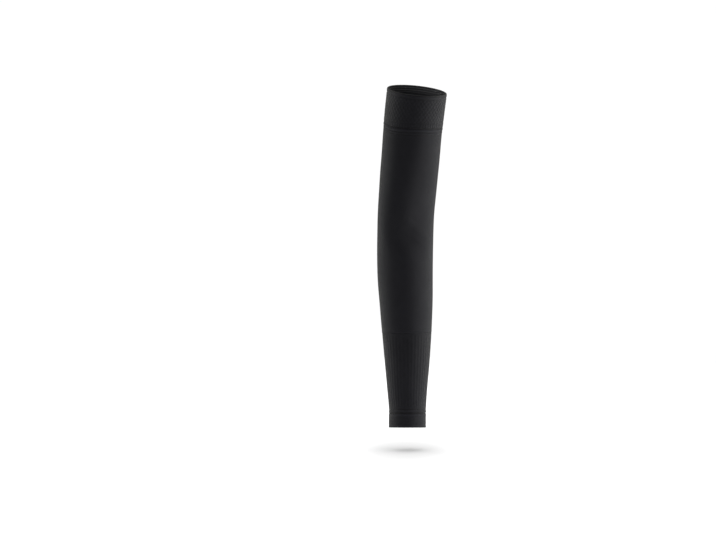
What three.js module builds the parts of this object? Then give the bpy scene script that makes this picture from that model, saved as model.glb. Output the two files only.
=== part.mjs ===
// Sun protection arm sleeve: a seamless knitted tube for one arm, from the upper arm to the wrist.
// It is shaped as it is worn, a little bent at the elbow, and open at both ends.
// Units are millimetres. The origin is the centre of the upper opening, +Z is up, +X is to the
// right and -Y is the front. "Along" is a distance down the centre line from the upper opening.
import * as THREE from "three";
import { ParametricGeometry } from "three/addons/geometries/ParametricGeometry.js";

// The outer form, one row for each section down the arm. Down, right and back place the section's
// centre, width is across the front and depth is front to back. Keel draws the section to three
// blunt corners, the first of them at the elbow, as a share of its radius.
const SECTIONS = [
  { place: "upper opening", down: 0, right: 0, back: 0, width: 71.7, depth: 73, keel: 0 },
  { place: "below the band", down: 48, right: -5, back: 5, width: 70.6, depth: 72, keel: 0.004 },
  { place: "biceps", down: 102, right: -10.3, back: 10.4, width: 69.8, depth: 72, keel: 0.03 },
  { place: "above the elbow", down: 150, right: -14.9, back: 14.7, width: 67.9, depth: 70, keel: 0.062 },
  { place: "elbow", down: 192, right: -14.1, back: 17, width: 67.6, depth: 69, keel: 0.006 },
  { place: "below the elbow", down: 234, right: -13.4, back: 16.8, width: 66.3, depth: 67, keel: 0 },
  { place: "forearm", down: 276, right: -12.1, back: 14.3, width: 61.9, depth: 63, keel: 0 },
  { place: "mid forearm", down: 318, right: -11.3, back: 10.3, width: 55.8, depth: 57, keel: 0 },
  { place: "lower forearm", down: 360, right: -11.3, back: 5.7, width: 48.3, depth: 50.5, keel: 0 },
  { place: "cuff", down: 386, right: -10.9, back: 2.6, width: 44.5, depth: 48, keel: 0 },
  { place: "wrist opening", down: 407, right: -10.9, back: 0.2, width: 44.4, depth: 48, keel: 0 },
];
const ELBOW_BEARING = THREE.MathUtils.degToRad(117); // from the right-hand side, towards the back

// Where each knitted zone ends, along the centre line, and how thick its wall is.
const BAND_HEIGHT = 40.4; // turned double band that holds on the upper arm
const FOREARM_START = 295; // the plain knit changes to ribbed mesh here
const CUFF_HEIGHT = 17.5; // turned double hem at the wrist
const KNIT_THICKNESS = 1;
const BAND_THICKNESS = 2;
const BAND_PROUD = 0.2; // how far the double layers stand out from the single knit
const CUFF_THICKNESS = 1.8;
const CUFF_PROUD = 0.2;
const ZONE_GAP = 0.3; // the groove between two zones

// Raised courses round the tube: soft ridges, each with a half-width and a height. Margin is from
// the end of the zone to the middle of its first ridge.
const BAND_WELT = { halfWidth: 2.2, height: 0.4, margin: 2.5 }; // on the sleeve, under the band
const CUFF_WELT = { halfWidth: 1.8, height: 0.35, margin: 2 }; // on the forearm, above the cuff
const GRIP = { halfWidth: 1.1, height: 0.35, margin: 3.2, pitch: 2.7, count: 3 }; // inside the band

// The soft hollow inside the bent elbow, which slants round the front: its middle along the tube
// and its bearing in degrees, its depth, and how far it reaches along and spreads round.
const HOLLOW = { along: 178, bearing: 274, slant: 0.3, depth: 2.6, reach: 27, spread: 58 };

// How finely the walls are faceted.
const SIDES = 40;
const STATION_STEP = 12;
const RIM_STEPS = 4;
const RIDGE_STATIONS = [-1, -0.5, 0, 0.5, 1]; // in half-widths from a ridge's middle

const BLACK_KNIT = { color: 0x1c1c1e, roughness: 0.85, metalness: 0 };
const BLACK_BAND = { color: 0x19191b, roughness: 0.8, metalness: 0 };
const BLACK_MESH_KNIT = { color: 0x1e1e20, roughness: 0.85, metalness: 0 };

const centreLine = new THREE.CatmullRomCurve3(
  SECTIONS.map((s) => new THREE.Vector3(s.right, s.back, -s.down)), false, "catmullrom");
const girth = new THREE.CatmullRomCurve3(
  SECTIONS.map((s) => new THREE.Vector3(s.width / 2, s.depth / 2, s.keel)), false, "catmullrom");
const LENGTH = centreLine.getLength();
const CUFF_START = LENGTH - CUFF_HEIGHT;

// A raised cosine: 1 in the middle, falling smoothly to 0 at the given distance from it.
function swell(distance, reach) {
  return Math.abs(distance) < reach ? (1 + Math.cos((Math.PI * distance) / reach)) / 2 : 0;
}

// How deep the elbow hollow is at a place on the tube.
function hollowDepth(along, angle) {
  const degrees = THREE.MathUtils.radToDeg(angle);
  const fromMiddle = THREE.MathUtils.euclideanModulo(degrees - HOLLOW.bearing + 180, 360) - 180;
  const middle = HOLLOW.along + HOLLOW.slant * fromMiddle;
  return HOLLOW.depth * swell(along - middle, HOLLOW.reach) * swell(fromMiddle, HOLLOW.spread);
}

// The point at a distance along the tube and an angle round it, set in from the outer form.
function surfacePoint(along, inset, angle, target) {
  const t = centreLine.getUtoTmapping(along / LENGTH);
  const centre = centreLine.getPoint(t);
  const down = centreLine.getTangent(t);
  const across = new THREE.Vector3(1, 0, 0).projectOnPlane(down).normalize();
  const through = new THREE.Vector3().crossVectors(across, down).normalize();
  const { x: halfWidth, y: halfDepth, z: keel } = girth.getPoint(t);
  const fullness = 1 + keel * Math.cos(3 * (angle - ELBOW_BEARING));
  const setIn = inset + hollowDepth(along, angle);
  return target
    .copy(centre)
    .addScaledVector(across, (halfWidth * fullness - setIn) * Math.cos(angle))
    .addScaledVector(through, (halfDepth * fullness - setIn) * Math.sin(angle));
}

// One face of a wall as profile points from one end to the other: even stations, and closer ones
// over each ridge that rises out of the face. Out is +1 outside and -1 inside.
function wallFace(from, to, inset, ridges, out) {
  const count = Math.max(1, Math.round((to - from) / STATION_STEP));
  const even = Array.from({ length: count + 1 }, (_, i) => from + ((to - from) * i) / count);
  const clear = even.filter(
    (a, i) => i === 0 || i === count || ridges.every((r) => Math.abs(a - r.middle) > r.halfWidth));
  const close = ridges.flatMap((r) => RIDGE_STATIONS.map((k) => r.middle + k * r.halfWidth));
  return [...clear, ...close]
    .sort((a, b) => a - b)
    .map((along) => {
      const rises = ridges.map((r) => r.height * swell(along - r.middle, r.halfWidth));
      return { along, inset: inset - out * Math.max(0, ...rises) };
    });
}

// A turned edge: profile points of a half circle from the outer face to the inner one, for an end
// that lies at a place along the tube. Side is -1 for the upper end and +1 for the lower one.
function turnedEdge(end, outer, inner, side) {
  const radius = (inner - outer) / 2;
  return Array.from({ length: RIM_STEPS - 1 }, (_, i) => {
    const turn = (Math.PI * (i + 1)) / RIM_STEPS;
    return {
      along: end - side * radius * (1 - Math.sin(turn)),
      inset: (outer + inner) / 2 - radius * Math.cos(turn),
    };
  });
}

// A closed profile round one zone's wall: down its inner face and up its outer one. An end that is
// turned over is round, and any other end is square.
function zoneProfile({ from, to, proud, thickness, outerRidges, innerRidges, turnedTop, turnedFoot }) {
  const [outer, inner] = [-proud, thickness - proud];
  const top = turnedTop ? from + thickness / 2 : from;
  const foot = turnedFoot ? to - thickness / 2 : to;
  return [
    ...wallFace(top, foot, inner, innerRidges, -1),
    ...(turnedFoot ? turnedEdge(to, outer, inner, 1).reverse() : []),
    ...wallFace(top, foot, outer, outerRidges, 1).reverse(),
    ...(turnedTop ? turnedEdge(from, outer, inner, -1) : []),
  ];
}

// The solid that a zone's closed profile makes when it is carried round the tube.
function knitZone(name, look, zone) {
  const profile = zoneProfile({
    proud: 0, thickness: KNIT_THICKNESS, outerRidges: [], innerRidges: [], ...zone });
  const carry = (u, v, target) => {
    const { along, inset } = profile[Math.round(v * profile.length) % profile.length];
    return surfacePoint(along, inset, 2 * Math.PI * (Math.round(u * SIDES) % SIDES) / SIDES, target);
  };
  const geometry = new ParametricGeometry(carry, SIDES, profile.length);
  const mesh = new THREE.Mesh(geometry, new THREE.MeshStandardMaterial(look));
  mesh.name = name;
  return mesh;
}

const upperBand = knitZone("upper_band", BLACK_BAND, {
  from: 0,
  to: BAND_HEIGHT,
  proud: BAND_PROUD,
  thickness: BAND_THICKNESS,
  innerRidges: Array.from({ length: GRIP.count }, (_, i) => (
    { ...GRIP, middle: GRIP.margin + i * GRIP.pitch })),
  turnedTop: true,
});
const upperSleeve = knitZone("upper_sleeve", BLACK_KNIT, {
  from: BAND_HEIGHT + ZONE_GAP,
  to: FOREARM_START,
  outerRidges: [{ ...BAND_WELT, middle: BAND_HEIGHT + ZONE_GAP + BAND_WELT.margin }],
});
const forearmSleeve = knitZone("forearm_sleeve", BLACK_MESH_KNIT, {
  from: FOREARM_START + ZONE_GAP,
  to: CUFF_START,
  outerRidges: [{ ...CUFF_WELT, middle: CUFF_START - CUFF_WELT.margin }],
});
const wristCuff = knitZone("wrist_cuff", BLACK_BAND, {
  from: CUFF_START + ZONE_GAP,
  to: LENGTH,
  proud: CUFF_PROUD,
  thickness: CUFF_THICKNESS,
  turnedFoot: true,
});

const armSleeve = new THREE.Group();
armSleeve.name = "arm_sleeve";
armSleeve.add(upperBand, upperSleeve, forearmSleeve, wristCuff);

export default armSleeve;
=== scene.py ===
import bpy
import numpy as np
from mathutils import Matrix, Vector


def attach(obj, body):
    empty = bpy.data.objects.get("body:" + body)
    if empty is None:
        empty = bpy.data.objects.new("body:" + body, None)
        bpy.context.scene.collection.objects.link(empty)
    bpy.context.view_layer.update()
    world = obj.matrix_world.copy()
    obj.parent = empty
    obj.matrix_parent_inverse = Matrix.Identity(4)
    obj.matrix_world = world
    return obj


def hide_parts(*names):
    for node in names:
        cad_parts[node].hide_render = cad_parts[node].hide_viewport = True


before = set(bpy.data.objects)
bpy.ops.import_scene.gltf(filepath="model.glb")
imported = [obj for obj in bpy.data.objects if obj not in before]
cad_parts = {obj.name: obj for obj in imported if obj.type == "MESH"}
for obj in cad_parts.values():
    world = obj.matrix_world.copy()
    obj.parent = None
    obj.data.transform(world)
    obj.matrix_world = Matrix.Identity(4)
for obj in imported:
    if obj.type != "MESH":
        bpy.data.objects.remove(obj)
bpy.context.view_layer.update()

MM = 0.001
BODY = "root"

# The picture: a long lens far in front of the sleeve, a little above it.
PICTURE_SIZE = np.array([716, 540])
MM_PER_PIXEL = 1.1985
OPENING_PIXEL = np.array([416.9, 90.5])  # the centre of the upper opening
CAMERA_DISTANCE = 6500
CAMERA_ELEVATION = np.radians(5.5)
CAMERA_REACH = 100000
SENSOR_WIDTH = 36


def place_camera():
    """The view line is the +Y direction lowered by the elevation. The point that it meets lies as far
    from the centre of the upper opening as the picture's middle does from that opening's pixel."""
    right = np.array([1.0, 0.0, 0.0])
    ahead = np.array([0.0, np.cos(CAMERA_ELEVATION), -np.sin(CAMERA_ELEVATION)])
    up = np.cross(right, ahead)
    offset = (PICTURE_SIZE / 2 - OPENING_PIXEL) * MM_PER_PIXEL
    aim = offset[0] * right - offset[1] * up
    data = bpy.data.cameras.new("camera")
    data.sensor_width = SENSOR_WIDTH
    data.lens = SENSOR_WIDTH * CAMERA_DISTANCE / (PICTURE_SIZE[0] * MM_PER_PIXEL)
    data.clip_end = CAMERA_REACH * MM
    camera = bpy.data.objects.new("camera", data)
    camera.location = (aim - CAMERA_DISTANCE * ahead) * MM
    camera.rotation_euler = (np.pi / 2 - CAMERA_ELEVATION, 0.0, 0.0)
    bpy.context.scene.collection.objects.link(camera)
    bpy.context.scene.camera = camera


place_camera()

# The outer form, one row for each section down the arm. The columns are: how far down, right and
# back the section's centre is, its width across the front, its depth front to back, and its keel,
# which draws it to three blunt corners, the first of them at the elbow.
SECTIONS = np.array([
    (0, 0, 0, 71.7, 73, 0),
    (48, -5, 5, 70.6, 72, 0.004),
    (102, -10.3, 10.4, 69.8, 72, 0.03),
    (150, -14.9, 14.7, 67.9, 70, 0.062),
    (192, -14.1, 17, 67.6, 69, 0.006),
    (234, -13.4, 16.8, 66.3, 67, 0),
    (276, -12.1, 14.3, 61.9, 63, 0),
    (318, -11.3, 10.3, 55.8, 57, 0),
    (360, -11.3, 5.7, 48.3, 50.5, 0),
    (386, -10.9, 2.6, 44.5, 48, 0),
    (407, -10.9, 0.2, 44.4, 48, 0),
])
DOWN, RIGHT, BACK, WIDTH, DEPTH, KEEL = SECTIONS.T
CENTRES = np.stack([RIGHT, BACK, -DOWN], axis=1)
GIRTHS = np.stack([WIDTH / 2, DEPTH / 2, KEEL], axis=1)
ELBOW_BEARING = np.radians(117)

# The hollow inside the bent elbow and the small wrinkles in it. The columns are: its middle along the
# tube, its bearing in degrees, its slant, its depth, and how far it reaches along and spreads round.
FOLDS = (
    (178, 274, 0.3, 2.6, 27, 58),
    (160, 305, 0.45, 0.22, 5, 40),
    (174, 298, 0.5, 0.3, 6, 46),
    (188, 304, 0.45, 0.2, 5, 38),
)

# The slack of the cloth, as slow waves: turns round the tube, pitch along it, phase and height.
SLACK = ((2, 140, 0.4, 0.12), (3, 90, 1.9, 0.1), (5, 61, 4.0, 0.06), (7, 43, 2.2, 0.04))

# Where the seam under the band strays from a square line. The columns are: its bearing in degrees, how
# far it spreads round, and how far it drops. Above and below the seam this fades within the reach.
SEAM_STRAYS = ((225, 55, 1.8), (295, 42, -1.0))
STRAY_REACH = 30

# The zones of the knit, along the centre line, and the insets and layers of their walls.
BAND_HEIGHT = 40.4
FOREARM_START = 295
CUFF_HEIGHT = 17.5
ZONE_GAP = 0.3
KNIT_THICKNESS = 1.0
BAND_OUTER, BAND_INNER, BAND_LAYER = -0.2, 1.8, 0.65
CUFF_OUTER, CUFF_INNER, CUFF_LAYER = -0.2, 1.6, 0.6


def curve_through(rows, place):
    """Catmull-Rom curve: between two rows it is the cubic whose slope at each row is half the step
    from the row before to the row after. Returns the values and the slopes at row numbers place."""
    ends = np.vstack([2 * rows[0] - rows[1], rows, 2 * rows[-1] - rows[-2]])
    first = np.clip(np.floor(place).astype(int), 0, len(rows) - 2)
    t = (place - first)[:, None]
    before, start, end, after = (ends[first + k] for k in range(4))
    slope_start, slope_end = (end - before) / 2, (after - start) / 2
    square = 3 * (end - start) - 2 * slope_start - slope_end
    cube = 2 * (start - end) + slope_start + slope_end
    value = start + t * (slope_start + t * (square + t * cube))
    return value, slope_start + t * (2 * square + 3 * t * cube)


# The length of the centre line, summed over fine steps of the row number.
FINE_COUNT = 4001
FINE_PLACES = np.linspace(0, len(SECTIONS) - 1, FINE_COUNT)
FINE_STEPS = np.linalg.norm(np.diff(curve_through(CENTRES, FINE_PLACES)[0], axis=0), axis=1)
FINE_ALONG = np.concatenate([[0], np.cumsum(FINE_STEPS)])
LENGTH = FINE_ALONG[-1]
CUFF_START = LENGTH - CUFF_HEIGHT


def swell(distance, reach):
    """A raised cosine: 1 in the middle, falling smoothly to 0 at the given distance from it."""
    return np.where(np.abs(distance) < reach, (1 + np.cos(np.pi * distance / reach)) / 2, 0.0)


def between(value, start, end, soft):
    """1 from start to end, falling to 0 over the soft distance inside each of them, as a smooth step."""
    rise = np.clip((value - start) / soft, 0, 1)
    fall = np.clip((end - value) / soft, 0, 1)
    return rise * rise * (3 - 2 * rise) * fall * fall * (3 - 2 * fall)


def degrees_from(bearing, angle):
    """The shortest way round from a bearing in degrees to an angle, between -180 and 180 degrees."""
    return np.mod(np.degrees(angle) - bearing + 180, 360) - 180


def fold_depth(along, angle):
    """The folds inside the elbow: each is a raised cosine across a line that slants round the front,
    and fades as another one round the tube."""
    total = 0.0
    for middle, bearing, slant, depth, reach, spread in FOLDS:
        beside = degrees_from(bearing, angle)
        total = total + depth * swell(along - middle - slant * beside, reach) * swell(beside, spread)
    return total


def slack_height(along, angle):
    """The slow waves of the cloth: a sum of sines that go round the tube and along it."""
    return sum(height * np.sin(turns * angle + phase) * np.sin(2 * np.pi * along / pitch + phase)
               for turns, pitch, phase, height in SLACK)


def seam_stray(along, angle):
    """How far the cloth near the band's seam strays down the tube: raised cosines round it, which fade
    as another one along it, so that only the lines of the knit move and not the form."""
    total = 0.0
    for bearing, spread, drop in SEAM_STRAYS:
        total = total + drop * swell(degrees_from(bearing, angle), spread)
    return total * swell(along - BAND_HEIGHT, STRAY_REACH)


def sleeve_points(along, inset, angle):
    """Points of the tube. Each section is an ellipse square to the centre line, drawn to its corners
    by a cosine of three times the angle. The inset and the folds are taken off both half axes, and the
    slack is added to them. Near the band's seam the points stray a little along the tube."""
    level = along[:, None]
    strayed = level + seam_stray(level, angle)
    place = np.interp(strayed.ravel(), FINE_ALONG, FINE_PLACES)
    grid = (*strayed.shape, 3)
    centre, slope = (values.reshape(grid) for values in curve_through(CENTRES, place))
    half_width, half_depth, keel = curve_through(GIRTHS, place)[0].T.reshape(3, *strayed.shape)
    down = slope / np.linalg.norm(slope, axis=2, keepdims=True)
    across = np.array([1.0, 0.0, 0.0]) - down[..., :1] * down
    across /= np.linalg.norm(across, axis=2, keepdims=True)
    through = np.cross(across, down)
    fullness = 1 + keel * np.cos(3 * (angle - ELBOW_BEARING))
    set_in = inset + fold_depth(level, angle) - slack_height(level, angle)
    x = (half_width * fullness - set_in) * np.cos(angle)
    y = (half_depth * fullness - set_in) * np.sin(angle)
    return centre + x[..., None] * across + y[..., None] * through


# The patterns in the relief of each zone: how many go round or how far apart they lie, how high they
# stand in millimetres, where they start and end, and over what distance they fade there.
CHECKS_ROUND, CHECK_PITCH, CHECK_HEIGHT = 48, 6.6, 0.28
CHECK_TOP, CHECK_FOOT, CHECK_FADE = 5.2, 34.4, 2.0
BAND_RIBS, BAND_RIB_HEIGHT, BAND_RIB_FADE = 66, 0.2, 1.5
MESH_RIBS, MESH_RIB_HEIGHT = 42, 0.12
EYELET_PITCH, EYELET_DEPTH = 4.2, 0.15
MESH_TOP, MESH_FOOT, MESH_FADE = FOREARM_START + 2, CUFF_START - 5, 5
CUFF_RIBS, CUFF_RIB_HEIGHT = 72, 0.1
CUFF_RIB_TOP, CUFF_RIB_FOOT, CUFF_RIB_FADE = CUFF_START + 3, LENGTH - 3.5, 1.5

# The raised and sunk courses round the tube. The columns are: the middle and the half-width of a
# course, how high it stands, and its painted shade: how much darker its colour is made, as painted shade in
# the sunk seams, lines and mesh and on the crests of rim and fold, or, where negative, how much lighter,
# as a painted highlight on a raised welt.
MIDDLE, HALF_WIDTH, HEIGHT, PAINTED_SHADE_COLUMN = range(4)
BAND_COURSES = (
    (0, 2.2, 0, 0.5),  # the crest of the rim
    (2.2, 2.2, 0.1, 0),  # the rolled rim
    (4.9, 1.3, -0.18, 0),  # the line under it
    (CHECK_FOOT, 1.0, -0.15, 0),  # the line under the check
    (BAND_HEIGHT, 1.2, -0.12, 0.34),  # the seam
)
SLEEVE_COURSES = (
    (BAND_HEIGHT, 1.3, -0.12, 0.34),  # the seam
    (BAND_HEIGHT + 2.8, 2.2, 0.4, -0.25),  # the welt under the band
    (BAND_HEIGHT + 5.0, 1.2, -0.14, 0.16),
    (BAND_HEIGHT + 6.5, 1.5, 0.15, -0.1),  # a finer course under the welt
    (BAND_HEIGHT + 8.0, 1.1, -0.12, 0.16),
    (FOREARM_START - 1, 2.0, 0.1, -0.1),  # the edge over the forearm knit
)
FOREARM_COURSES = (
    (FOREARM_START + 14, 36, -0.15, 0.04),  # the mesh lies in a little below the plain knit
    (CUFF_START - 4.2, 1.2, -0.2, 0.25),
    (CUFF_START - 2, 1.8, 0.35, 0),  # the welt above the cuff
    (CUFF_START, 1.4, -0.05, 0.75),  # the seam
)
CUFF_COURSES = (
    (CUFF_START, 1.4, -0.05, 0.75),  # the seam
    (CUFF_START + 2.4, 1.4, 0.2, -0.35),
    (LENGTH - 3.2, 1.2, -0.16, 0),  # the stitched line above the fold
    (LENGTH - 2.2, 1.2, 0.15, -0.4),
    (LENGTH, 1.6, 0, 0.9),  # the crest of the fold
)

# The ridges that grip the arm, inside the band below its rim, and the grey strip that they stand on.
GRIP_RIDGES, GRIP_FIRST, GRIP_PITCH, GRIP_HALF_WIDTH, GRIP_HEIGHT = 3, 3.2, 2.7, 1.1, 0.35
# Below the strip the inner face is painted darker, painted shade deeper in the mouth; the last value is the
# grey left there.
STRIP_END, STRIP_FADE, PAINTED_SHADE_BELOW_STRIP = 7.4, 3.0, 0.4


def sum_of_courses(along, table, column):
    """The sum of a zone's courses, each a raised cosine across its middle, for one of their columns."""
    return sum(row[column] * swell(along - row[MIDDLE], row[HALF_WIDTH]) for row in table)


def band_check(along, angle):
    """A check, the product of a cosine round the band and one along it, over a border of upright ribs
    above the seam."""
    check = np.cos(CHECKS_ROUND * angle) * np.cos(2 * np.pi * along / CHECK_PITCH) / 2
    ribs = np.cos(BAND_RIBS * angle) / 2
    return (CHECK_HEIGHT * check * between(along, CHECK_TOP, CHECK_FOOT, CHECK_FADE)
            + BAND_RIB_HEIGHT * ribs * between(along, CHECK_FOOT, BAND_HEIGHT, BAND_RIB_FADE))


def plain_face(along, angle):
    """No pattern."""
    return 0 * along * angle


def ribbed_mesh(along, angle):
    """Upright ribs, and between them rows of dimples that lie alternately."""
    ribs = (1 + np.cos(MESH_RIBS * angle)) / 2
    turn = np.sin(MESH_RIBS / 2 * angle) * np.cos(2 * np.pi * along / EYELET_PITCH)
    dimples = (1 - ribs) ** 2 * ((1 + turn) / 2) ** 3
    zone = between(along, MESH_TOP, MESH_FOOT, MESH_FADE)
    return zone * (MESH_RIB_HEIGHT * (ribs - 0.5) - EYELET_DEPTH * dimples)


def cuff_ribs(along, angle):
    """Fine upright ribs between the seam and the fold."""
    zone = between(along, CUFF_RIB_TOP, CUFF_RIB_FOOT, CUFF_RIB_FADE)
    return CUFF_RIB_HEIGHT * zone * np.cos(CUFF_RIBS * angle) / 2


def plain_reverse(along):
    """The same grey all along the inner face."""
    return np.ones_like(along)


def grip_strip_and_painted_shade(along):
    """How grey the band's inner face is: full on the strip that grips, and darker below it, as painted
    shade deeper in the mouth.
    """
    painted_shade_below = np.clip((along - STRIP_END) / STRIP_FADE + 0.5, 0, 1)
    return 1 - (1 - PAINTED_SHADE_BELOW_STRIP) * painted_shade_below


def grip_ridges(rows):
    """Raises the grip ridges out of the band's inner rows."""
    table = [(GRIP_FIRST + k * GRIP_PITCH, GRIP_HALF_WIDTH, GRIP_HEIGHT) for k in range(GRIP_RIDGES)]
    rows[:, 1] += sum_of_courses(rows[:, 0], table, HEIGHT)
    return rows


# How many profile rows go round the edges: a rim or fold, a layer's edge, a hidden one and an eased one.
RIM_ROWS, EDGE_ROWS, HIDDEN_ROWS, EASED_ROWS = 14, 6, 4, 5
OUTSIDE = 1.0  # marks the profile rows that carry the relief


def straight(start, end, step, outside=0.0):
    """Profile rows of (along, inset, outside) on a straight line between two places, at even steps,
    without its last point."""
    count = max(1, int(np.ceil(abs(end[0] - start[0]) / step)))
    share = np.arange(count) / count
    rows = [start[k] + (end[k] - start[k]) * share for k in range(2)]
    return np.stack([*rows, np.full(count, outside)], axis=1)


def turned(start, end, bulge, count):
    """Profile rows on half an ellipse from one place to another that is level with it, standing out
    by bulge along the tube, without its last point."""
    turn = np.pi * np.arange(count) / count
    along = start[0] + (end[0] - start[0]) * turn / np.pi + bulge * np.sin(turn)
    inset = (start[1] + end[1]) / 2 + (start[1] - end[1]) / 2 * np.cos(turn)
    return np.stack([along, inset, np.zeros(count)], axis=1)


def eased(start, end):
    """Profile rows on a quarter of an ellipse from one place to another, leaving along the tube and
    arriving square to it, without its last point."""
    turn = np.pi / 2 * np.arange(EASED_ROWS) / EASED_ROWS
    along = start[0] + (end[0] - start[0]) * np.sin(turn)
    inset = end[1] + (start[1] - end[1]) * np.cos(turn)
    return np.stack([along, inset, np.zeros(EASED_ROWS)], axis=1)


# The UV map runs once round the tube and once for each of these lengths along it. The grey of the
# reverse grows with this power of the depth into the wall, so that it keeps to the inner face.
KNIT_UV = "knit"
UV_LENGTH = 100
REVERSE_POWER = 4


def closed_mesh(name, points, along):
    """A mesh of four-sided faces on a grid of points, whose last row joins its first and whose last
    column joins its first. Its UV map is the column and the distance along of each face's corners."""
    rows, columns = points.shape[:2]
    row, column = (grid.reshape(-1, 1) for grid in np.mgrid[0:rows, 0:columns])
    corner_rows = (row + [0, 0, 1, 1]) % rows
    corner_columns = column + [0, 1, 1, 0]
    corners = corner_rows * columns + corner_columns % columns
    mesh = bpy.data.meshes.new(name)
    mesh.vertices.add(rows * columns)
    mesh.vertices.foreach_set("co", points.ravel())
    mesh.loops.add(corners.size)
    mesh.loops.foreach_set("vertex_index", corners.ravel())
    mesh.polygons.add(len(corners))
    mesh.polygons.foreach_set("loop_start", np.arange(0, corners.size, corners.shape[1]))
    uv = np.stack([corner_columns / columns, along[corner_rows] / UV_LENGTH], axis=2)
    mesh.uv_layers.new(name=KNIT_UV).data.foreach_set("uv", uv.ravel())
    mesh.update(calc_edges=True)
    mesh.polygons.foreach_set("use_smooth", np.ones(len(corners), dtype=bool))
    return mesh


def knitted_wall(name, profile, columns, pattern, table, lightness=plain_reverse):
    """A closed wall: the closed profile is carried round the tube, and its outside rows are raised by
    the zone's pattern, a function of along and angle, and by its table of courses. The attribute
    "relief" holds the height of each point in millimetres, "painted_shade" the painted shade of its
    courses, and "reverse" grows from 0 outside to the lightness of the inner face."""
    along, inset, outside = profile.T
    angle = 2 * np.pi * np.arange(columns) / columns
    raised = pattern(along[:, None], angle[None, :]) + sum_of_courses(along, table, HEIGHT)[:, None]
    height = outside[:, None] * raised
    mesh = closed_mesh(name, sleeve_points(along, inset[:, None] - height, angle) * MM, along)
    reverse = ((inset - inset.min()) / np.ptp(inset)) ** REVERSE_POWER * lightness(along)
    # Painted shade of the courses: darker in sunk seams and on crests, lighter as a painted highlight on
    # welts.
    painted_shade = sum_of_courses(along, table, PAINTED_SHADE_COLUMN)
    for label, values in (("relief", height.ravel()), ("reverse", np.repeat(reverse, columns)),
                          ("painted_shade", np.repeat(painted_shade, columns))):
        mesh.attributes.new(label, "FLOAT", "POINT").data.foreach_set("value", values)
    piece = bpy.data.objects.new(name, mesh)
    bpy.context.scene.collection.objects.link(piece)
    return piece


# The four pieces. Each function starts with the piece's columns round the tube and the steps between its
# profile rows, which are shortest where fine relief shows and longest where a face is hidden.
def make_upper_band():
    """A folded band: its inner layer, its lower edge, the hidden faces, the outer layer and the rim."""
    columns, grip_step, inner_step, hidden_step, outer_step = 528, 0.35, 4, 6, 0.5
    rim = (BAND_INNER - BAND_OUTER) / 2
    hidden_in, hidden_out = BAND_INNER - BAND_LAYER, BAND_OUTER + BAND_LAYER
    edge, tuck = BAND_LAYER / 2, 0.3
    grip_end, deep, foot = 12, 2, BAND_HEIGHT - edge
    profile = np.concatenate([
        grip_ridges(straight((rim, BAND_INNER), (grip_end, BAND_INNER), grip_step)),
        straight((grip_end, BAND_INNER), (foot, BAND_INNER), inner_step),
        turned((foot, BAND_INNER), (foot, hidden_in), edge, EDGE_ROWS),
        straight((foot, hidden_in), (deep, hidden_in), hidden_step),
        turned((deep, hidden_in), (deep, hidden_out), -tuck, HIDDEN_ROWS),
        straight((deep, hidden_out), (foot, hidden_out), hidden_step),
        turned((foot, hidden_out), (foot, BAND_OUTER), edge, EDGE_ROWS),
        straight((foot, BAND_OUTER), (rim, BAND_OUTER), outer_step, OUTSIDE),
        turned((rim, BAND_OUTER), (rim, BAND_INNER), -rim, RIM_ROWS),
    ])
    return knitted_wall("upper_band_knit", profile, columns, band_check, BAND_COURSES, grip_strip_and_painted_shade)


def make_upper_sleeve():
    """One layer of plain knit: its thinned upper edge is caught inside the band, and its thinned lower
    edge laps over the forearm knit."""
    columns, inner_step, slope_step, lap_step = 240, 5, 0.25, 1
    outer_step, welt_step, caught_step = 1.6, 0.3, 1.5
    caught, lap, edge = 0.55, 0.3, 0.2
    top, shoulder = BAND_HEIGHT - 4, BAND_HEIGHT + ZONE_GAP
    ease, welt_end = shoulder + 0.3, shoulder + 10
    slope, lap_top, foot = FOREARM_START - 3.5, FOREARM_START - 3, FOREARM_START - lap / 2
    profile = np.concatenate([
        straight((top, KNIT_THICKNESS), (slope, KNIT_THICKNESS), inner_step),
        straight((slope, KNIT_THICKNESS), (lap_top, lap), slope_step),
        straight((lap_top, lap), (foot, lap), lap_step),
        turned((foot, lap), (foot, 0), lap / 2, EDGE_ROWS),
        straight((foot, 0), (welt_end, 0), outer_step, OUTSIDE),
        straight((welt_end, 0), (ease, 0), welt_step, OUTSIDE),
        eased((ease, 0), (shoulder, caught)),
        straight((shoulder, caught), (top, caught), caught_step),
        turned((top, caught), (top, KNIT_THICKNESS), -edge, HIDDEN_ROWS),
    ])
    return knitted_wall("upper_sleeve_knit", profile, columns, plain_face, SLEEVE_COURSES)


def make_forearm_sleeve():
    """One layer of ribbed mesh knit: its upper edge lies under the plain knit, and its lower edge is
    caught inside the cuff."""
    columns, inner_step, slope_step, caught_step = 420, 4, 0.5, 1.5
    outer_step, welt_step, lap_step = 0.7, 0.3, 1
    under, caught_out, caught_in, edge = 0.36, 0.48, 0.92, 0.2
    top, shoulder = FOREARM_START - 2.5, FOREARM_START + ZONE_GAP
    slope, foot, tail = CUFF_START - 1, CUFF_START, CUFF_START + 4.5
    ease, welt_start, caught_start = shoulder + 0.6, foot - 5, foot + 0.3
    profile = np.concatenate([
        straight((top, KNIT_THICKNESS), (slope, KNIT_THICKNESS), inner_step),
        straight((slope, KNIT_THICKNESS), (foot, caught_in), slope_step),
        straight((foot, caught_in), (tail, caught_in), caught_step),
        turned((tail, caught_in), (tail, caught_out), edge, HIDDEN_ROWS),
        straight((tail, caught_out), (caught_start, caught_out), caught_step),
        eased((caught_start, caught_out), (foot, 0)),
        straight((foot, 0), (welt_start, 0), welt_step, OUTSIDE),
        straight((welt_start, 0), (ease, 0), outer_step, OUTSIDE),
        eased((ease, 0), (shoulder, under)),
        straight((shoulder, under), (top, under), lap_step),
        turned((top, under), (top, KNIT_THICKNESS), -edge, HIDDEN_ROWS),
    ])
    return knitted_wall("forearm_sleeve_knit", profile, columns, ribbed_mesh, FOREARM_COURSES)


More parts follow.
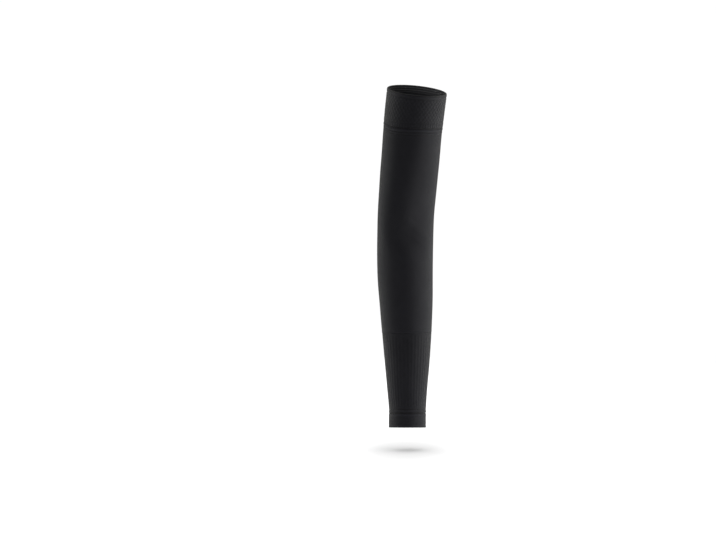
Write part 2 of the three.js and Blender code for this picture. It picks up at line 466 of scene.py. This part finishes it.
def make_wrist_cuff():
    """A folded hem: its inner layer, the fold at its foot, the outer layer and the hidden faces."""
    columns, inner_step, outer_step, hidden_step = 432, 2, 0.4, 4
    fold, edge, tuck = 0.45, CUFF_LAYER / 2, 0.3
    hidden_in, hidden_out = CUFF_INNER - CUFF_LAYER, CUFF_OUTER + CUFF_LAYER
    top, deep, foot = CUFF_START + ZONE_GAP + edge, LENGTH - 3, LENGTH - fold
    profile = np.concatenate([
        straight((top, CUFF_INNER), (foot, CUFF_INNER), inner_step),
        turned((foot, CUFF_INNER), (foot, CUFF_OUTER), fold, RIM_ROWS),
        straight((foot, CUFF_OUTER), (top, CUFF_OUTER), outer_step, OUTSIDE),
        turned((top, CUFF_OUTER), (top, hidden_out), -edge, EDGE_ROWS),
        straight((top, hidden_out), (deep, hidden_out), hidden_step),
        turned((deep, hidden_out), (deep, hidden_in), tuck, HIDDEN_ROWS),
        straight((deep, hidden_in), (top, hidden_in), hidden_step),
        turned((top, hidden_in), (top, CUFF_INNER), -edge, EDGE_ROWS),
    ])
    return knitted_wall("wrist_cuff_knit", profile, columns, cuff_ribs, CUFF_COURSES)


def feed(tree, socket, value):
    """Gives an input socket a value, or links it to the output socket of another node."""
    if isinstance(value, bpy.types.NodeSocket):
        tree.links.new(value, socket)
    else:
        socket.default_value = value


def calculate(tree, operation, *values):
    """A Math node. Each value is a number or the output socket of another node."""
    node = tree.nodes.new("ShaderNodeMath")
    node.operation = operation
    for socket, value in zip(node.inputs, values):
        feed(tree, socket, value)
    return node.outputs[0]


def scaled(tree, colour, factor):
    """A colour, or the socket of one, times a factor."""
    node = tree.nodes.new("ShaderNodeVectorMath")
    node.operation = "SCALE"
    feed(tree, node.inputs[0], colour)
    feed(tree, node.inputs["Scale"], factor)
    return node.outputs["Vector"]


# Where a Mix node of colours has its sockets.
MIX_SHARE, MIX_FROM, MIX_TO, MIX_RESULT = 0, 6, 7, 2


def mixed(tree, share, colour_from, colour_to):
    """The first colour where the share is 0 and the second where it is 1."""
    node = tree.nodes.new("ShaderNodeMix")
    node.data_type = "RGBA"
    for place, value in ((MIX_SHARE, share), (MIX_FROM, colour_from), (MIX_TO, colour_to)):
        feed(tree, node.inputs[place], value)
    return node.outputs[MIX_RESULT]


def attribute(tree, name):
    """A piece's own attribute."""
    node = tree.nodes.new("ShaderNodeAttribute")
    node.attribute_name = name
    return node.outputs["Fac"]


def new_group(name, inputs, output):
    """A shader node group with named inputs (name, kind, value) and one number that it puts out."""
    group = bpy.data.node_groups.new(name, "ShaderNodeTree")
    for label, kind, value in inputs:
        socket = group.interface.new_socket(label, in_out="INPUT", socket_type=kind)
        if value is not None:
            socket.default_value = value
    group.interface.new_socket(output, in_out="OUTPUT", socket_type="NodeSocketFloat")
    return group, group.nodes.new("NodeGroupInput"), group.nodes.new("NodeGroupOutput")


def place_group(tree, group, **inputs):
    """Places a node group in a material, with its own values, and returns what the group puts out."""
    node = tree.nodes.new("ShaderNodeGroup")
    node.node_tree = group
    for label, value in inputs.items():
        feed(tree, node.inputs[label], value)
    return node.outputs[0]


# The knit: how far the legs of a stitch slant, and the noise that makes the yarn uneven. The columns of
# that noise are: the name of its share, its scale in each metre, its detail, and the share that shows.
STITCH_SLANT = 0.6
YARN_NOISE = (("Patches", 70, 2, 0.1), ("Grain", 900, 3, 0.2))


def make_stitch_group():
    """Rows of knitted loops: each wale is two slanting legs, and each course is a row of Vs. Height is
    the root of the product of a sine across a leg and a sine across a course."""
    group, given, made = new_group(
        "knit_stitches",
        [("UV", "NodeSocketVector", None), ("Wales", "NodeSocketFloat", None),
         ("Courses", "NodeSocketFloat", None), ("Slant", "NodeSocketFloat", STITCH_SLANT)],
        "Height")
    split = group.nodes.new("ShaderNodeSeparateXYZ")
    group.links.new(given.outputs["UV"], split.inputs[0])
    wales_round = calculate(group, "MULTIPLY", split.outputs["X"], given.outputs["Wales"])
    courses_down = calculate(group, "MULTIPLY", split.outputs["Y"], given.outputs["Courses"])
    wale = calculate(group, "FRACT", wales_round)
    from_middle = calculate(group, "ABSOLUTE", calculate(group, "SUBTRACT", wale, 0.5))
    lift = calculate(group, "MULTIPLY", from_middle, given.outputs["Slant"])
    course = calculate(group, "ADD", lift, courses_down)
    course_wave = calculate(group, "SINE", calculate(group, "MULTIPLY", course, np.pi))
    leg_wave = calculate(group, "SINE", calculate(group, "MULTIPLY", wale, 2 * np.pi))
    across_course = calculate(group, "ABSOLUTE", course_wave)
    across_leg = calculate(group, "ABSOLUTE", leg_wave)
    height = calculate(group, "SQRT", calculate(group, "MULTIPLY", across_course, across_leg))
    group.links.new(height, made.inputs["Height"])
    return group


def make_yarn_group():
    """Uneven dyeing and loose fibres: broad soft patches and a fine grain, as a shade round 1."""
    shares = [(label, "NodeSocketFloat", share) for label, _, _, share in YARN_NOISE]
    group, given, made = new_group("uneven_yarn", [("Place", "NodeSocketVector", None), *shares], "Shade")
    shade = 1.0
    for label, scale, detail, _ in YARN_NOISE:
        noise = group.nodes.new("ShaderNodeTexNoise")
        noise.inputs["Scale"].default_value = scale
        noise.inputs["Detail"].default_value = detail
        group.links.new(given.outputs["Place"], noise.inputs["Vector"])
        swing = calculate(group, "MULTIPLY_ADD", noise.outputs["Fac"], 2.0, -1.0)
        shade = calculate(group, "ADD", shade, calculate(group, "MULTIPLY", swing, given.outputs[label]))
    group.links.new(shade, made.inputs["Shade"])
    return group


STITCHES = make_stitch_group()
YARN = make_yarn_group()

# The colours of the yarn, and the finish of each knit: its black, the grey of its reverse, its wales round
# the tube, its courses in each UV length, its painted relief shade (painted shade darkens its hollows, and
# a painted highlight lightens its ridges and so tones the check), and its soft sheen.
BAND_BLACK = (0.0071, 0.0071, 0.0098)
SLEEVE_BLACK = (0.0073, 0.0073, 0.01)
MESH_BLACK = (0.0076, 0.0076, 0.0103)
GRIP_GREY = (0.052, 0.052, 0.055)
REVERSE_GREY = (0.025, 0.025, 0.027)
FINISHES = {
    "band_knit": (BAND_BLACK, GRIP_GREY, 288, 110, 0.3, 0.17),
    "plain_knit": (SLEEVE_BLACK, REVERSE_GREY, 264, 125, 0.15, 0.12),
    "rib_knit": (MESH_BLACK, REVERSE_GREY, 252, 120, 0.15, 0.12),
    "cuff_knit": (BAND_BLACK, REVERSE_GREY, 216, 125, 0.2, 0.12),
}
# Painted shade in hollows this deep and a painted highlight on ridges this high, at full strength.
RELIEF_REACH = 0.2  # the height or depth of relief that has the full shade
# Painted light on the loops: their crowns are lighter as a painted highlight, the gaps darker as painted
# shade.
LOOP_PAINTED_HIGHLIGHT, LOOP_PAINTED_SHADE = 0.5, 0.7  # how much lighter the crown of a loop is, and its lowest shade
ROUGHNESS, ROUGHNESS_SWING = 0.75, 0.1
STITCH_BUMP, STITCH_DEPTH = 0.5, 0.25
SHEEN_ROUGHNESS = 0.45
SHEEN_TINT = (0.92, 0.915, 0.85, 1.0)
SPECULAR = 0.15


def knit_colour(tree, black, reverse_grey, painted_relief_shade, loops, yarn):
    """The black of the yarn, times its own shade, the painted light of its loops (lighter crowns, painted
    shade in the gaps) and the painted light of its relief (painted shade in hollows, a painted highlight on
    ridges, which also tones the check), then mixed with the grey of the reverse and darkened by the painted
    shade of its courses, or lightened by their painted highlights."""
    # Painted light of the relief: darker in its hollows as painted shade, lighter on its ridges as a
    # painted highlight.
    relief = tree.nodes.new("ShaderNodeMapRange")
    feed(tree, relief.inputs["Value"], attribute(tree, "relief"))
    feed(tree, relief.inputs["From Min"], -RELIEF_REACH)
    feed(tree, relief.inputs["From Max"], RELIEF_REACH)
    feed(tree, relief.inputs["To Min"], 1 - painted_relief_shade)
    feed(tree, relief.inputs["To Max"], 1 + painted_relief_shade)
    # The loops' painted light: lighter crowns, and painted shade in the gaps between them.
    painted_loop_shade = calculate(tree, "MULTIPLY_ADD", loops, LOOP_PAINTED_HIGHLIGHT, LOOP_PAINTED_SHADE)
    knit_shade = calculate(tree, "MULTIPLY", yarn, painted_loop_shade)
    shade = calculate(tree, "MULTIPLY", knit_shade, relief.outputs["Result"])
    both_sides = mixed(tree, attribute(tree, "reverse"), scaled(tree, black, shade), (*reverse_grey, 1.0))
    # Darkened by the painted shade of the courses, and lightened where it is negative, a painted highlight.
    return scaled(tree, both_sides, calculate(tree, "SUBTRACT", 1.0, attribute(tree, "painted_shade")))


def knit_finish(name):
    """A matt black knit: the stitches raise the surface, and the yarn's shade varies the gloss."""
    black, reverse_grey, wales, courses, painted_relief_shade, sheen = FINISHES[name]
    material = bpy.data.materials.new(name)
    material.use_nodes = True
    tree = material.node_tree
    shader = tree.nodes["Principled BSDF"]
    place = tree.nodes.new("ShaderNodeTexCoord").outputs["Object"]
    uv = tree.nodes.new("ShaderNodeUVMap")
    uv.uv_map = KNIT_UV
    loops = place_group(tree, STITCHES, UV=uv.outputs["UV"], Wales=wales, Courses=courses)
    yarn = place_group(tree, YARN, Place=place)
    bump = tree.nodes.new("ShaderNodeBump")
    bump.inputs["Strength"].default_value = STITCH_BUMP
    bump.inputs["Distance"].default_value = STITCH_DEPTH * MM
    tree.links.new(loops, bump.inputs["Height"])
    roughness = calculate(tree, "MULTIPLY_ADD", yarn, ROUGHNESS_SWING, ROUGHNESS - ROUGHNESS_SWING)
    colour = knit_colour(tree, black, reverse_grey, painted_relief_shade, loops, yarn)
    tree.links.new(colour, shader.inputs["Base Color"])
    tree.links.new(roughness, shader.inputs["Roughness"])
    tree.links.new(bump.outputs["Normal"], shader.inputs["Normal"])
    shader.inputs["Sheen Weight"].default_value = sheen
    shader.inputs["Sheen Roughness"].default_value = SHEEN_ROUGHNESS
    shader.inputs["Sheen Tint"].default_value = SHEEN_TINT
    shader.inputs["Specular IOR Level"].default_value = SPECULAR
    return material


band = make_upper_band()
sleeve = make_upper_sleeve()
forearm = make_forearm_sleeve()
cuff = make_wrist_cuff()

for piece, node, slot in (
    (band, "upper_band", "band_knit"),
    (sleeve, "upper_sleeve", "plain_knit"),
    (forearm, "forearm_sleeve", "rib_knit"),
    (cuff, "wrist_cuff", "cuff_knit"),
):
    piece.data.materials.append(knit_finish(slot))
    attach(piece, BODY)
    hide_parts(node)

# How finely a zone is measured, round the tube and along it.
GIRTH_POINTS, GIRTH_PLACES = 361, 41


def girth_at(along):
    """The length round the outer form at places along it, by a sum over fine steps of the angle."""
    ring = sleeve_points(along, 0.0, np.linspace(0, 2 * np.pi, GIRTH_POINTS))
    return np.linalg.norm(np.diff(ring, axis=1), axis=2).sum(axis=1)


def declare_knit(start, end):
    """Measures the zone's girth at places along its outer form. The girths are not used."""
    girths = girth_at(np.linspace(start, end, GIRTH_PLACES)) * MM


declare_knit(0, BAND_HEIGHT)
declare_knit(BAND_HEIGHT, FOREARM_START)
declare_knit(FOREARM_START, CUFF_START)
declare_knit(CUFF_START, LENGTH)

# The studio: a pale floor a little below the wrist. It has painted light, a glow of its own that rises
# across an ellipse round the sleeve, from a start to an end at these distances to the side, and the
# ellipse's width is this share of its depth. Under the sleeve it has no glow, so the sleeve's shadow stays
# darker.
FLOOR_DROP = 27.5
FLOOR_HUB, FLOOR_RADIUS = 20, 1000
FLOOR_RINGS, FLOOR_SIDES = 12, 96
FLOOR_CENTRE = np.array([RIGHT[-1], BACK[-1], -DOWN[-1] - FLOOR_DROP])
FLOOR_WHITE = (0.88, 0.88, 0.88, 1.0)
FLOOR_ROUGHNESS = 0.9
GLOW, GLOW_START, GLOW_END, ELLIPSE_SHARE = 0.28, 12, 89, 0.45
WHITE = (1.0, 1.0, 1.0, 1.0)

# The light of the sky: what the camera sees of it, its even part, and a dome over that, whose strength
# goes with this power of the height that a direction rises to.
SKY_SHOWN, SKY_EVEN, SKY_DOME, DOME_POWER = 1.02, 0.05, 1.64, 2.0

# The soft lights. The columns are: the light's name, its place, the point that it faces, its width and
# height, its power in watts, and the angle in degrees that its beam opens to.
MIDDLE_OF_SLEEVE, MOUTH = (-8, 8, -205), (8, 10, -3)
SOFT_LIGHTS = (
    ("right_side", (1100, 150, -180), MIDDLE_OF_SLEEVE, 500, 160, 12.5, 180),
    ("left_side", (-1000, 600, -110), MIDDLE_OF_SLEEVE, 400, 600, 4.6, 180),
    ("into_mouth", (-320, -420, 700), MOUTH, 40, 40, 0.006, 7),
)


def make_floor():
    """A flat disc: points at even radii and angles round a centre under the wrist."""
    radius = np.linspace(FLOOR_HUB, FLOOR_RADIUS, FLOOR_RINGS)[:, None]
    angle = 2 * np.pi * np.arange(FLOOR_SIDES)[None, :] / FLOOR_SIDES
    x, y = radius * np.cos(angle), radius * np.sin(angle)
    points = (np.stack([x, y, np.zeros_like(x)], axis=2).reshape(-1, 3) + FLOOR_CENTRE) * MM
    row, column = (grid.ravel() for grid in np.mgrid[0:FLOOR_RINGS - 1, 0:FLOOR_SIDES])
    beside = (column + 1) % FLOOR_SIDES
    rings = np.stack([row * FLOOR_SIDES + column, (row + 1) * FLOOR_SIDES + column,
                      (row + 1) * FLOOR_SIDES + beside, row * FLOOR_SIDES + beside], axis=1)
    hub = list(range(FLOOR_SIDES))
    mesh = bpy.data.meshes.new("floor")
    mesh.from_pydata(points.tolist(), [], [*rings.tolist(), hub])
    mesh.materials.append(glowing_floor())
    floor = bpy.data.objects.new("floor", mesh)
    bpy.context.scene.collection.objects.link(floor)


def glowing_floor():
    """A matt white with painted light: it glows a little, rising smoothly from nothing under the sleeve to
    its full strength outside an ellipse round it."""
    paint = bpy.data.materials.new("glowing_floor")
    paint.use_nodes = True
    tree = paint.node_tree
    shader = tree.nodes["Principled BSDF"]
    shader.inputs["Base Color"].default_value = FLOOR_WHITE
    shader.inputs["Roughness"].default_value = FLOOR_ROUGHNESS
    shader.inputs["Specular IOR Level"].default_value = 0.0
    shader.inputs["Emission Color"].default_value = WHITE
    place = tree.nodes.new("ShaderNodeTexCoord")
    ellipse = tree.nodes.new("ShaderNodeMapping")
    ellipse.vector_type = "TEXTURE"
    ellipse.inputs["Location"].default_value = FLOOR_CENTRE * MM
    ellipse.inputs["Scale"].default_value = (1.0, 1.0 / ELLIPSE_SHARE, 1.0)
    distance = tree.nodes.new("ShaderNodeVectorMath")
    distance.operation = "LENGTH"
    glow = tree.nodes.new("ShaderNodeMapRange")
    glow.interpolation_type = "SMOOTHSTEP"
    glow.inputs["From Min"].default_value = GLOW_START * MM
    glow.inputs["From Max"].default_value = GLOW_END * MM
    glow.inputs["To Max"].default_value = GLOW
    tree.links.new(place.outputs["Object"], ellipse.inputs["Vector"])
    tree.links.new(ellipse.outputs["Vector"], distance.inputs[0])
    tree.links.new(distance.outputs["Value"], glow.inputs["Value"])
    tree.links.new(glow.outputs["Result"], shader.inputs["Emission Strength"])
    return paint


def make_sky():
    """White to the camera. To everything else it is an even light with a dome over it."""
    world = bpy.data.worlds.new("studio")
    world.use_nodes = True
    tree = world.node_tree
    direction = tree.nodes.new("ShaderNodeTexCoord")
    split = tree.nodes.new("ShaderNodeSeparateXYZ")
    tree.links.new(direction.outputs["Generated"], split.inputs[0])
    rise = calculate(tree, "MAXIMUM", split.outputs["Z"], 0.0)
    dome = calculate(tree, "POWER", rise, DOME_POWER)
    light = tree.nodes["Background"]
    light.inputs["Color"].default_value = WHITE
    tree.links.new(calculate(tree, "MULTIPLY_ADD", dome, SKY_DOME, SKY_EVEN), light.inputs["Strength"])
    shown = tree.nodes.new("ShaderNodeBackground")
    shown.inputs["Color"].default_value = WHITE
    shown.inputs["Strength"].default_value = SKY_SHOWN
    path = tree.nodes.new("ShaderNodeLightPath")
    mix = tree.nodes.new("ShaderNodeMixShader")
    tree.links.new(path.outputs["Is Camera Ray"], mix.inputs["Fac"])
    tree.links.new(light.outputs[0], mix.inputs[1])
    tree.links.new(shown.outputs[0], mix.inputs[2])
    tree.links.new(mix.outputs[0], tree.nodes["World Output"].inputs["Surface"])
    bpy.context.scene.world = world


def soft_light(name, place, aim, width, height, power, spread):
    """A rectangular soft light at a place, turned to face its aim."""
    data = bpy.data.lights.new(name, "AREA")
    data.shape = "RECTANGLE"
    data.size, data.size_y = width * MM, height * MM
    data.energy = power
    data.spread = np.radians(spread)
    light = bpy.data.objects.new(name, data)
    facing = Vector(aim) - Vector(place)
    light.location = Vector(place) * MM
    light.rotation_euler = facing.to_track_quat("-Z", "Y").to_euler()
    bpy.context.scene.collection.objects.link(light)


make_floor()
make_sky()
for row in SOFT_LIGHTS:
    soft_light(*row)
bpy.context.scene.view_settings.view_transform = "Standard"
